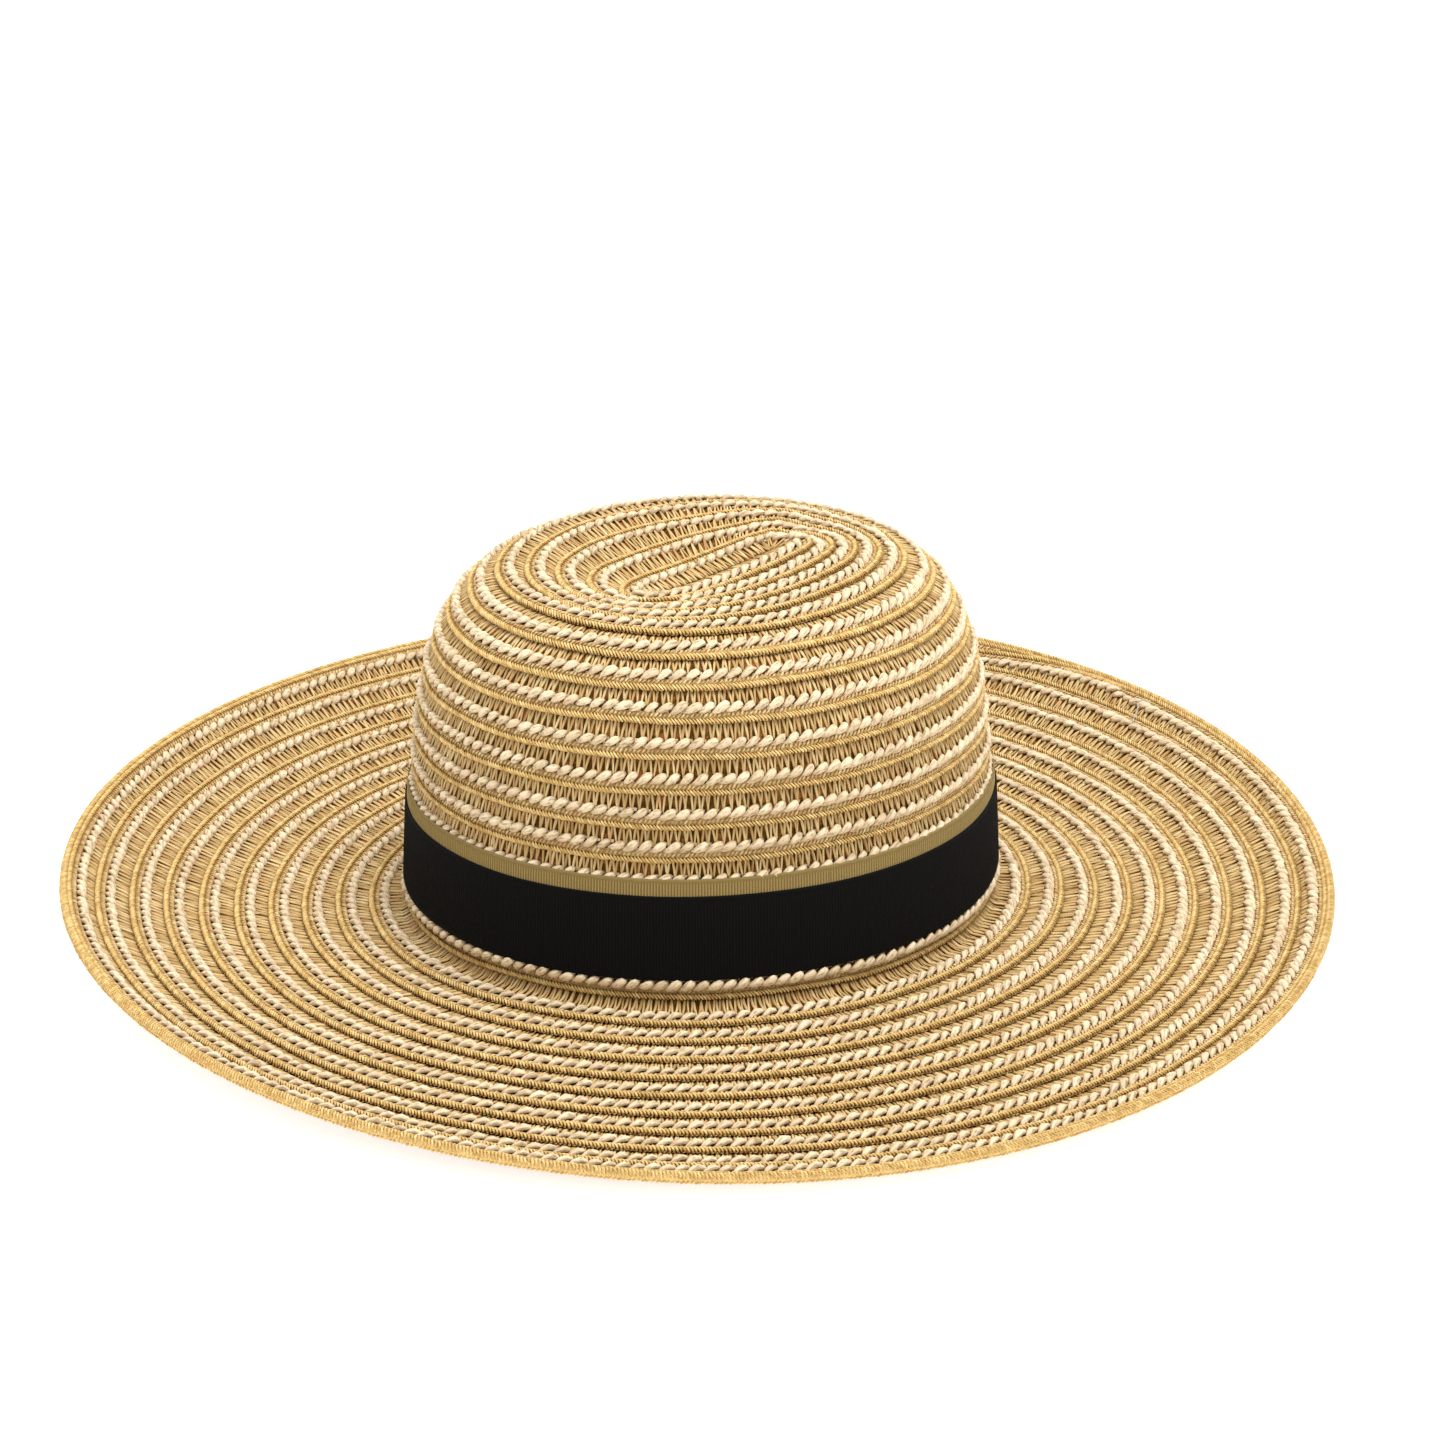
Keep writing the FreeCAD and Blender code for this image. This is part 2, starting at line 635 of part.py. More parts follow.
for item in doc.Objects:
    if "Invalid" in item.State or "Error" in item.State:
        raise RuntimeError("%s failed to build: %s" % (item.Label, item.State))
os.makedirs("parts", exist_ok=True)
for name, feature in pieces.items():
    shape = feature.Shape
    if shape.isNull() or not shape.isValid() or not shape.Solids:
        raise RuntimeError("%s has no valid solid" % name)
    shape.exportStep(os.path.join("parts", name + ".step"))
    box = shape.BoundBox
    print("%-22s %9.1f mm3  z %7.2f to %7.2f" % (name, shape.Volume, box.ZMin, box.ZMax))
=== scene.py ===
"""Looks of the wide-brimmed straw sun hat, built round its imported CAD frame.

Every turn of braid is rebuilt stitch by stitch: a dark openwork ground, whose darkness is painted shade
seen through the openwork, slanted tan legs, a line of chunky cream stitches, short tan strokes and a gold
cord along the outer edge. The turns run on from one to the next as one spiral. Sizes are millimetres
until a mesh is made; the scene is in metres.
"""
import math

import bpy
import numpy as np
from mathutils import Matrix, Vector


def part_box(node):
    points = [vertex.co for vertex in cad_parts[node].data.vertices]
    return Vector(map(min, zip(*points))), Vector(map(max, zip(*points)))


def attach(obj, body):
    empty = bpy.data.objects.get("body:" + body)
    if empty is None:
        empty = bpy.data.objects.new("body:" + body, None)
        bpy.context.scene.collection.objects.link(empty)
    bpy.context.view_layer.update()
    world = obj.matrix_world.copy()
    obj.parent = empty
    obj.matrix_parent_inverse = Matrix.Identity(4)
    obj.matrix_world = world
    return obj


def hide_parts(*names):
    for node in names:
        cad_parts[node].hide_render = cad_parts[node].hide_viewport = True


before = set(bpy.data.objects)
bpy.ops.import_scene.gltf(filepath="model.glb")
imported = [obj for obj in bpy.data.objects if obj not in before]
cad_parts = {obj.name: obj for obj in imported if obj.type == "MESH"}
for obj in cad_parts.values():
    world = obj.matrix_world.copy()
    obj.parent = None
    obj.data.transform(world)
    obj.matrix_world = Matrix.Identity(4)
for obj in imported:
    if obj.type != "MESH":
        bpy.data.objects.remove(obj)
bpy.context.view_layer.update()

MM = 0.001

# ---------------------------------------------------------------- driving dimensions
# These are the CAD's own.
CROWN_HALF_WIDTH, CROWN_HALF_LENGTH, CROWN_BACK = 91.1, 98.6, 1.5
CROWN_HEIGHT, CROWN_TAPER = 110.5, 0.05
SHOULDER_ACROSS, SHOULDER_UP = 0.385, 0.496
FOLD_HALF_LENGTH, FOLD_HALF_WIDTH, FOLD_TURN = 38.0, 12.2, 17.5
FOLD_LEFT, FOLD_FRONT = 12.5, 2.0
DENT, DENT_LEFT, DENT_FRONT, DENT_SPREAD, DENT_POWER = 4.0, 22.5, 11.0, 28.0, 6
BRAID_THICKNESS = 1.4
SIDE_ROWS, SHOULDER_ROWS, TIP_ROWS, BRIM_ROWS = 7, 3, 4, 9
SIDE_ROW_RISE, SHOULDER_ROW_PITCH, FIRST_ROW_FOOT, TURN_ROW_DROP = 10.8, 10.8, 6.2, 7.0
WALL_FOOT, CORNER_RADIUS = 3.5, 5.0
BRIM_HALF_WIDTH, BRIM_HALF_LENGTH = 209.6, 209.2
FIRST_BRIM_ROW, BRIM_ROW_PITCH, BRIM_SAG, SAG_POWER = 8.6, 11.75, 5.0, 6
EDGE_MEAN, EDGE_TILT, EDGE_TILT_TOWARD = 2.5, 8.1, math.radians(169.5)
EDGE_WAVE, EDGE_WAVE_TOWARD, EDGE_CURL = 2.1, math.radians(100), 1.35
RIBBON_HEIGHT, UNDER_RIBBON_HEIGHT, RIBBON_THICKNESS = 28.0, 33.5, 0.5
RIBBON_STAND_OFF, RIBBON_CLEARANCE, RIBBON_LAP = 0.8, 0.1, 26.0
BAND_HEIGHT, BAND_DROP, BAND_INSET, BAND_THICKNESS, BAND_LAP = 30.0, 4.0, 3.9, 0.9, 18.0
BAND_SEAM_RISE = 2.0
# These differ a little from the CAD's, or have no match in it, to suit the stitches: the outline of
# the folded start and how far its middle closes, the laps, the brim's edge and the sewing threads.
FOLD_POWER, FOLD_POWER_CHANGE, FOLD_REACH = 3.8, 1.4, 0.995
LAP_SINK, EDGE_FLAT, EDGE_THICKNESS = 1.25, 4.5, 2.7
SEAM_MARGIN, SEAM_DEPTH, BAND_SEAM_STAND_OFF = 0.65, 2.85, 0.25

# how high the ribbons' lower edge stands over the floor, from the frame
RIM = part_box("khaki_ribbon")[0].z / MM


# ---------------------------------------------------------------- the hat's surface

def edge_height(angle):
    tilt = EDGE_TILT * np.cos(angle - EDGE_TILT_TOWARD)
    return EDGE_MEAN + tilt + EDGE_WAVE * np.cos(2 * (angle - EDGE_WAVE_TOWARD))


def crown_profile():
    """The crown's inset and height, and the length walked along it, from the ribbons' edge up."""
    turn = np.linspace(0, 1, 6001) ** 3 * math.pi / 2
    rise = np.sin(turn) ** SHOULDER_UP
    lean = CROWN_TAPER * CROWN_HEIGHT
    across = 1 - np.cos(turn).clip(0) ** SHOULDER_ACROSS
    inset = lean * rise + (CROWN_HALF_WIDTH - lean) * across
    height = CROWN_HEIGHT * rise
    walked = np.cumsum(np.hypot(np.diff(inset, prepend=inset[0]), np.diff(height, prepend=height[0])))
    return inset, height, walked


INSET, HEIGHT, WALKED = crown_profile()
SIDE_TOP = np.interp(FIRST_ROW_FOOT + SIDE_ROW_RISE * SIDE_ROWS, HEIGHT, WALKED)
LAST_OVAL = SIDE_TOP + SHOULDER_ROW_PITCH * SHOULDER_ROWS

# "way" is the length walked outwards over the hat, from the folded start at the tip to the edge
TIP_WAY = 40.0
WALL_END = TIP_WAY + LAST_OVAL
CORNER_END = WALL_END + WALL_FOOT + CORNER_RADIUS * math.pi / 2
BRIM_REACH = BRIM_HALF_WIDTH - CROWN_HALF_WIDTH - CORNER_RADIUS
LOWEST_EDGE = edge_height(np.linspace(0, 2 * math.pi, 361)).min()


def fold_plan(angle, inward):
    """Plan position in the folded start: inward 1 is its outline, 2 is its middle line."""
    power = FOLD_POWER + FOLD_POWER_CHANGE * np.sin(angle)
    round_off = (np.abs(np.cos(angle)) ** power + np.abs(np.sin(angle)) ** power) ** (-1 / power)
    across = FOLD_HALF_WIDTH * np.cos(angle) * round_off
    along = FOLD_HALF_LENGTH * np.sin(angle) * round_off
    straight = FOLD_HALF_LENGTH - FOLD_HALF_WIDTH
    share = (inward - 1).clip(0, 1)
    across = across * (1 - share)
    along = along + (along.clip(-straight, straight) - along) * share
    turn = math.radians(FOLD_TURN)
    return (FOLD_LEFT + across * math.cos(turn) - along * math.sin(turn),
            CROWN_BACK - FOLD_FRONT + across * math.sin(turn) + along * math.cos(turn))


def height_over(x, y):
    """Height of the crown's skin over a plan position, found by halving the range of insets."""
    low = np.zeros_like(x)
    high = np.full_like(x, CROWN_HALF_WIDTH - 0.01)
    for _ in range(28):
        middle = (low + high) / 2
        inside = ((x / (CROWN_HALF_WIDTH - middle)) ** 2
                  + ((y - CROWN_BACK) / (CROWN_HALF_LENGTH - middle)) ** 2) < 1
        low, high = np.where(inside, middle, low), np.where(inside, high, middle)
    return np.interp(low, INSET, HEIGHT)


def dent(x, y, height):
    """How far the soft hollow lowers the crown at a place. It fades out down the crown's side."""
    spread = ((x - DENT_LEFT) ** 2 + (y - CROWN_BACK + DENT_FRONT) ** 2) / (2 * DENT_SPREAD ** 2)
    return DENT * np.exp(-spread) * (height / CROWN_HEIGHT).clip(0) ** DENT_POWER


def surface(angle, way):
    """Points of the hat's outside, over the ribbons' lower edge."""
    angle, way = np.broadcast_arrays(np.asarray(angle, float), np.asarray(way, float))
    walked = LAST_OVAL - (way - TIP_WAY).clip(0)
    inset, wall_height = np.interp(walked, WALKED, INSET), np.interp(walked, WALKED, HEIGHT)
    drop = (way - WALL_END).clip(0)
    turned = ((drop - WALL_FOOT).clip(0) / CORNER_RADIUS).clip(0, math.pi / 2)
    outset = CORNER_RADIUS * (1 - np.cos(turned))
    corner_height = -drop.clip(0, WALL_FOOT) - CORNER_RADIUS * np.sin(turned)
    out = ((way - CORNER_END) / BRIM_REACH).clip(0)
    foot = -WALL_FOOT - CORNER_RADIUS
    curl = EDGE_CURL * out ** 2 - (EDGE_CURL - 1) * out
    brim_height = (foot + (LOWEST_EDGE - foot) * out + (edge_height(angle) - LOWEST_EDGE) * curl
                   - BRIM_SAG * out * (1 - out ** SAG_POWER))
    foot_width, foot_length = CROWN_HALF_WIDTH + CORNER_RADIUS, CROWN_HALF_LENGTH + CORNER_RADIUS
    zone = [way < WALL_END, way < CORNER_END]
    half_width = np.select(zone, [CROWN_HALF_WIDTH - inset, CROWN_HALF_WIDTH + outset],
                           foot_width + (BRIM_HALF_WIDTH - foot_width) * out)
    half_length = np.select(zone, [CROWN_HALF_LENGTH - inset, CROWN_HALF_LENGTH + outset],
                            foot_length + (BRIM_HALF_LENGTH - foot_length) * out)
    x = half_width * np.cos(angle)
    y = CROWN_BACK * (1 - out) + half_length * np.sin(angle)
    z = np.select(zone, [wall_height, corner_height], brim_height)
    tip = way < TIP_WAY
    if tip.any():
        inward = np.where(way[tip] > 0, 1 - way[tip] / TIP_WAY, 1 - way[tip] / FOLD_HALF_WIDTH)
        fold_x, fold_y = fold_plan(angle[tip], inward)
        share = inward.clip(0, 1)
        x[tip] += (fold_x - x[tip]) * share
        y[tip] += (fold_y - y[tip]) * share
        z[tip] = height_over(x[tip], y[tip])
    z = z - dent(x, y, z)
    return np.stack([x, y, z], axis=-1)


# ---------------------------------------------------------------- the turns of braid

ROW_NAMES = (["crown_start_fold"]
             + ["crown_tip_row_%d" % n for n in range(TIP_ROWS, 0, -1)]
             + ["crown_shoulder_row_%d" % n for n in range(SHOULDER_ROWS, 0, -1)]
             + ["crown_side_row_%d" % n for n in range(SIDE_ROWS, 0, -1)]
             + ["crown_turn_row"]
             + ["brim_row_%d" % n for n in range(1, BRIM_ROWS + 1)]
             + ["brim_edge_row"])
EDGE_ROW = len(ROW_NAMES) - 1
TURN_ROW = EDGE_ROW - BRIM_ROWS - 1


def row_edges():
    """The way of each turn's outer edge, from the folded start's outline to the brim's edge."""
    feet = FIRST_ROW_FOOT + SIDE_ROW_RISE * np.arange(SIDE_ROWS - 1, -1, -1)
    return np.concatenate([
        TIP_WAY / TIP_ROWS * np.arange(TIP_ROWS + 1),
        TIP_WAY + SHOULDER_ROW_PITCH * np.arange(1, SHOULDER_ROWS + 1),
        WALL_END - np.interp(feet, HEIGHT, WALKED),
        [WALL_END + TURN_ROW_DROP],
        CORNER_END + FIRST_BRIM_ROW + BRIM_ROW_PITCH * np.arange(BRIM_ROWS),
        [CORNER_END + BRIM_REACH],
    ])


ROW_EDGES = row_edges()
# Where the turns end, and over what angle they move outwards before that, changes slowly down the hat.
SEAM_ROWS = (TIP_ROWS - 1, TIP_ROWS + 3, TURN_ROW - 2, TURN_ROW + 3, EDGE_ROW - 3, EDGE_ROW)
SEAMS, SHIFTS = np.radians((62, 84, 84, 124, 124, 97)), np.radians((50, 140, 140, 60, 60, 28))
SAMPLES = 900
WANDER, LEAST_PITCH, DEEPEST_LAP = 0.22, 1.5, 1.15


def seam_of(row):
    """Where a turn ends and the next one starts."""
    return np.interp(row, SEAM_ROWS, SEAMS)


def turns_at(unwound):
    """How many turns out the spiral's outer edge is. The unwound angle falls by a full turn a row."""
    turns = -1.0
    for row in range(-1, EDGE_ROW + 1):
        end = seam_of(row) - 2 * math.pi * (row + 1)
        shift = (1 - (unwound - end) / np.interp(row, SEAM_ROWS, SHIFTS)).clip(0, 1)
        turns = turns + shift * shift * (3 - 2 * shift)
    return turns.clip(-1, EDGE_ROW)


def edge_way(turns, angle):
    """The way of a braid edge after a number of turns. Hand sewing lets it wander a little."""
    wander = (np.sin(3 * angle + 0.9 * turns) + 0.6 * np.sin(7 * angle - 1.3 * turns)
              + 0.4 * np.sin(13 * angle + 2.1 * turns))
    inside = turns.clip(0, 1) * (EDGE_ROW - turns).clip(0, 1)
    edges = np.concatenate([[-FOLD_HALF_WIDTH], ROW_EDGES])
    return np.interp(turns, np.arange(-1, len(ROW_EDGES)), edges) + WANDER * wander * inside


class Line:
    """A line that stitches follow, with the directions along, across and out of the cloth."""

    def __init__(self, point, normal, pitch=None):
        self.point, self.normal = point, normal
        self.pitch = np.ones(len(point)) if pitch is None else pitch
        along = -np.gradient(point, axis=0)
        self.along = along / np.linalg.norm(along, axis=-1, keepdims=True)
        across = np.cross(self.along, normal)
        self.across = across / np.linalg.norm(across, axis=-1, keepdims=True)
        lengths = np.linalg.norm(np.diff(point, axis=0), axis=-1)
        self.walked = np.concatenate([[0], np.cumsum(lengths)])

    def steps(self, spacing):
        """Sample numbers, with fractions, of evenly spaced stitches."""
        count = max(int(round(self.walked[-1] / spacing)), 1)
        return np.interp((np.arange(count) + 0.5) / count * self.walked[-1], self.walked,
                         np.arange(len(self.walked)))

    def at(self, steps):
        """Point, along, across and normal at the given sample numbers."""
        samples = np.arange(len(self.walked))
        return [np.stack([np.interp(steps, samples, values[:, axis]) for axis in range(3)], axis=-1)
                for values in (self.point, self.along, self.across, self.normal)]

    def places(self, spacing, room=0.0):
        """Evenly spaced places, apart from those where the turn tapers to less than the room."""
        steps = self.steps(spacing)
        return self.at(steps[np.interp(steps, np.arange(len(self.pitch)), self.pitch) > room])


def lane(row, distance, height=0.0, under=False, depth=None):
    """A line along one turn of braid, a given distance from its outer edge. The inner edge is the
    outer edge of the turn before. The height is over the braid's upper face, or under its lower one;
    a depth counts from the hat's outside instead."""
    angle = np.linspace(seam_of(row - 1), seam_of(row) - 2 * math.pi, SAMPLES)
    unwound = angle - 2 * math.pi * row
    outer, inner = (edge_way(turns_at(place), angle) for place in (unwound, unwound + 2 * math.pi))
    step_turn, step_way = 2e-3, 0.1
    middle = (outer + inner) / 2
    around = surface(angle + step_turn, middle) - surface(angle - step_turn, middle)
    around /= np.linalg.norm(around, axis=-1, keepdims=True)
    outwards = (surface(angle, middle + step_way) - surface(angle, middle - step_way)) / (2 * step_way)
    scale = np.linalg.norm(outwards - (outwards * around).sum(-1, keepdims=True) * around, axis=-1)
    pitch = ((outer - inner) * scale).clip(LEAST_PITCH)
    distance = distance(pitch) if callable(distance) else distance
    way = (outer - distance / scale).clip(-FOLD_REACH * FOLD_HALF_WIDTH)
    around = surface(angle + step_turn, way) - surface(angle - step_turn, way)
    outwards = surface(angle, way + step_way) - surface(angle, way - step_way)
    normal = np.cross(outwards, around)
    normal /= np.linalg.norm(normal, axis=-1, keepdims=True)
    if depth is None:
        flat = EDGE_FLAT if row == EDGE_ROW else 0.0
        depth = LAP_SINK * ((distance - flat) / pitch).clip(0, DEEPEST_LAP)
        if under:
            depth = depth + (EDGE_THICKNESS if row == EDGE_ROW else BRAID_THICKNESS)
    side = -1 if under else 1
    point = surface(angle, way) + normal * (side * height - np.reshape(depth, (-1, 1)))
    point[:, 2] += RIM
    return Line(point, side * normal, pitch)


def yarn(path, sides, groove=0.0, twist=0.0):
    """A stitch's template: a closed tube through (along, across, height, half width, half height).
    A groove makes it two-ply, and a twist turns the plies over its length."""
    path = np.array(path, float)
    middle = path[:, :3]
    forward = np.gradient(middle, axis=0)
    forward /= np.linalg.norm(forward, axis=1, keepdims=True)
    sideways = np.cross([0, 0, 1], forward)
    sideways /= np.linalg.norm(sideways, axis=1, keepdims=True)
    up = np.cross(forward, sideways)
    spin = 2 * math.pi * (np.arange(sides) + 0.5) / sides
    plies = np.cos(2 * (spin[None] - np.linspace(-twist, twist, len(path))[:, None]))
    plies = (1 + groove * plies)[..., None]
    ring = plies * (sideways[:, None] * np.cos(spin)[None, :, None] * path[:, 3, None, None]
                    + up[:, None] * np.sin(spin)[None, :, None] * path[:, 4, None, None])
    points = (middle[:, None] + ring).reshape(-1, 3)
    quads = [(k * sides + s, k * sides + (s + 1) % sides, (k + 1) * sides + (s + 1) % sides,
              (k + 1) * sides + s) for k in range(len(path) - 1) for s in range(sides)]
    last = (len(path) - 1) * sides
    for s in range(1, sides - 2, 2):
        quads.append((0, s + 2, s + 1, s))
        quads.append((last, last + s, last + s + 1, last + s + 2))
    length = np.concatenate([[0], np.cumsum(np.linalg.norm(np.diff(middle, axis=0), axis=1))])
    grain = np.stack([np.repeat(length, sides), np.tile(np.arange(sides) / sides, len(path))], axis=-1)
    return points, np.array(quads), grain


class Cloth:
    """Quads gathered for one piece, with a shade for every stitch and a grain that runs along it. On
    ribbons the shade is each rib's painted light and shade.
    """

    def __init__(self, seed):
        self.points, self.quads, self.slots, self.shades, self.grains = [], [], [], [], []
        self.total = 0
        self.chance = np.random.default_rng(seed)

    def add(self, points, quads, slot, shade, grain):
        self.points.append(points.reshape(-1, 3))
        self.quads.append(quads.reshape(-1, 4) + self.total)
        self.slots.append(np.broadcast_to(slot, len(self.quads[-1])))
        self.shades.append(np.broadcast_to(shade, len(self.points[-1])))
        self.grains.append(grain.reshape(-1, 2))
        self.total += len(self.points[-1])

    def stitches(self, template, places, slot, jitter=0.06, swing=0.08):
        """One copy of a template at every place, each a little larger, smaller or turned."""
        points = template[0]
        point, along, across, normal = places
        count = len(point)
        size = 1 + self.chance.normal(0, jitter, (count, 1))
        turn = self.chance.normal(0, swing, (count, 1))
        a, c = points[None, :, 0] * size, points[None, :, 1] * size
        h = points[None, :, 2] * size + self.chance.normal(0, jitter, (count, 1))
        a, c = a * np.cos(turn) - c * np.sin(turn), a * np.sin(turn) + c * np.cos(turn)
        world = (point[:, None] + a[..., None] * along[:, None] + c[..., None] * across[:, None]
                 + h[..., None] * normal[:, None])
        self.copies(template, world, slot)

    def bridges(self, template, lines, steps, slot, jitter=0.19):
        """Stitches that run from the first line to the last, and bend with the cloth between them."""
        points = template[0]
        place = (points[:, 1] + 0.5).clip(0, 1) * (len(lines) - 1)
        near = place.astype(int).clip(0, len(lines) - 2)
        share = (place - near)[None, :, None]
        read = [np.stack(values).transpose(1, 0, 2)
                for values in zip(*[line.at(steps) for line in lines])]
        point, along, _, normal = [values[:, near] * (1 - share) + values[:, near + 1] * share
                                   for values in read]
        slant, slide, rise = [self.chance.normal(0, spread, (len(steps), 1))
                              for spread in (jitter, jitter, jitter / 2)]
        a = points[None, :, 0] + slant * points[None, :, 1] + slide
        h = points[None, :, 2] + rise
        self.copies(template, point + a[..., None] * along + h[..., None] * normal, slot)

    def copies(self, template, world, slot):
        """Adds a template's quads once for every row of placed points."""
        _, quads, grain = template
        count, corners = world.shape[:2]
        faces = quads[None] + (np.arange(count) * corners)[:, None, None]
        shade = np.repeat(self.chance.random(count), corners)
        self.add(world, faces, slot, shade, grain[None] + self.chance.random((count, 1, 1)) * 100)

    def strip(self, loops, slots, closed=False):
        """A closed section swept along lanes: loops is a list of equally long lines of points."""
        lines = np.stack(loops)
        corners, samples = lines.shape[:2]
        section = np.arange(corners)
        ends = samples if closed else samples - 1
        step = np.arange(ends)
        after = (step + 1) % samples
        quads = np.stack([
            section[:, None] * samples + step,
            section[:, None] * samples + after,
            ((section + 1) % corners)[:, None] * samples + after,
            ((section + 1) % corners)[:, None] * samples + step,
        ], axis=-1)
        length = np.concatenate([[0], np.cumsum(np.linalg.norm(np.diff(lines[0], axis=0), axis=1))])
        grain = np.stack(np.broadcast_arrays(length[None], section[:, None].astype(float)), axis=-1)
        self.add(lines, quads, np.repeat(slots, ends), 0.5, grain)

    def make(self, name, materials):
        """The finished piece, riding on the hat."""
        points, quads = np.concatenate(self.points) * MM, np.concatenate(self.quads)
        mesh = bpy.data.meshes.new(name)
        mesh.vertices.add(len(points))
        mesh.vertices.foreach_set("co", points.ravel())
        mesh.loops.add(quads.size)
        mesh.loops.foreach_set("vertex_index", quads.ravel().astype(np.int32))
        mesh.polygons.add(len(quads))
        mesh.polygons.foreach_set("loop_start", np.arange(0, quads.size, 4, dtype=np.int32))
        mesh.polygons.foreach_set("material_index", np.concatenate(self.slots).astype(np.int32))
        mesh.update(calc_edges=True)
        mesh.shade_smooth()
        shade = mesh.attributes.new("shade", "FLOAT", "POINT")
        shade.data.foreach_set("value", np.concatenate(self.shades).astype(np.float32))
        grain = mesh.attributes.new("grain", "FLOAT2", "POINT")
        grain.data.foreach_set("vector", np.concatenate(self.grains).astype(np.float32).ravel())
        piece = bpy.data.objects.new(name, mesh)
        bpy.context.scene.collection.objects.link(piece)
        finish_with(piece, materials)
        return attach(piece, "root")


# ---------------------------------------------------------------- materials

def finish_with(piece, materials):
    """Plain materials go in the mesh, the detailed ones over them in the object's own slots."""
    for material in materials:
        plain = bpy.data.materials.get(material.name + "_plain") or plain_of(material)
        piece.data.materials.append(plain)
    for slot, material in zip(piece.material_slots, materials):
        slot.link = "OBJECT"
        slot.material = material


def plain_of(material):
    plain = bpy.data.materials.new(material.name + "_plain")
    plain.use_nodes = True
    shader = plain.node_tree.nodes["Principled BSDF"]
    shader.inputs["Base Color"].default_value = (*material["mean"], 1)
    shader.inputs["Roughness"].default_value = 0.7
    return plain


class Paint:
    """A node material under construction."""

    def __init__(self, name, mean, roughness, specular=0.3):
        self.material = bpy.data.materials.new(name)
        self.material["mean"] = mean
        self.material.use_nodes = True
        self.tree = self.material.node_tree
        self.shader = self.tree.nodes["Principled BSDF"]
        self.shader.inputs["Roughness"].default_value = roughness
        self.shader.inputs["Specular IOR Level"].default_value = specular

    def node(self, kind, **settings):
        made = self.tree.nodes.new(kind)
        for key, value in settings.items():
            setattr(made, key, value)
        return made

    def link(self, source, target):
        self.tree.links.new(source, target)

    def attribute(self, name):
        return self.node("ShaderNodeAttribute", attribute_name=name)

    def noise(self, scale, detail=2.0, vector=None, stretch=None):
        """Noise over object coordinates in metres, or over another vector, stretched if asked."""
        if vector is None:
            vector = self.node("ShaderNodeTexCoord").outputs["Object"]
        if stretch is not None:
            mapping = self.node("ShaderNodeMapping")
            mapping.inputs["Scale"].default_value = stretch
            self.link(vector, mapping.inputs["Vector"])
            vector = mapping.outputs["Vector"]
        made = self.node("ShaderNodeTexNoise")
        made.inputs["Scale"].default_value = scale
        made.inputs["Detail"].default_value = detail
        self.link(vector, made.inputs["Vector"])
        return made.outputs["Fac"]

    def ramp(self, factor, stops):
        made = self.node("ShaderNodeValToRGB")
        elements = made.color_ramp.elements
        while len(elements) < len(stops):
            elements.new(0.5)
        for element, (place, colour) in zip(elements, stops):
            element.position = place
            element.color = (*colour, 1)
        self.link(factor, made.inputs["Fac"])
        return made.outputs["Color"]

    def mix(self, factor, first, second, blend="MIX"):
        made = self.node("ShaderNodeMix", data_type="RGBA", blend_type=blend)
        sockets = made.inputs[0], made.inputs[6], made.inputs[7]
        for value, socket in zip((factor, first, second), sockets):
            if isinstance(value, (int, float)):
                socket.default_value = value
            elif isinstance(value, tuple):
                socket.default_value = (*value, 1)
            else:
                self.link(value, socket)
        return made.outputs[2]

    def colour(self, socket):
        self.link(socket, self.shader.inputs["Base Color"])

    def bump(self, height, distance, strength=1.0):
        made = self.node("ShaderNodeBump")
        made.inputs["Distance"].default_value = distance
        made.inputs["Strength"].default_value = strength
        self.link(height, made.inputs["Height"])
        self.link(made.outputs["Normal"], self.shader.inputs["Normal"])


def straw(name, dark, mean, light, blush, strand_depth=0.00015):
    """Twisted paper straw: a shade for every stitch, blushes over the hat, strands along the yarn with
    painted shade in the grooves between them.
    """
    paint = Paint(name, mean, 0.62, 0.18)
    shade = paint.attribute("shade").outputs["Fac"]
    stitch = paint.ramp(shade, [(0.0, dark), (0.5, mean), (1.0, light)])
    patches = paint.ramp(paint.noise(260, 3.0), [(0.42, (0, 0, 0)), (0.72, (1, 1, 1))])
    tinted = paint.mix(patches, stitch, paint.mix(0.45, stitch, blush))
    strands = paint.noise(1.0, 3.0, paint.attribute("grain").outputs["Vector"], (0.5, 9.0, 1.0))
    # The strands darken where their bump is low: painted shade in the grooves between them.
    lines = paint.ramp(strands, [(0.32, (0.52, 0.46, 0.38)), (0.52, (1, 1, 1))])
    paint.colour(paint.mix(1.0, tinted, lines, "MULTIPLY"))
    paint.bump(strands, strand_depth)
    return paint.material


CREAM = straw("straw_cream", dark=(0.65, 0.51, 0.32), mean=(0.75, 0.61, 0.40),
              light=(0.82, 0.69, 0.47), blush=(0.77, 0.56, 0.40), strand_depth=0.0003)
TAN = straw("straw_tan", dark=(0.52, 0.335, 0.125), mean=(0.69, 0.49, 0.21),
            light=(0.80, 0.62, 0.315), blush=(0.58, 0.29, 0.115))
GOLD = straw("straw_gold", dark=(0.60, 0.40, 0.135), mean=(0.77, 0.54, 0.21),
             light=(0.88, 0.66, 0.30), blush=(0.70, 0.40, 0.13))


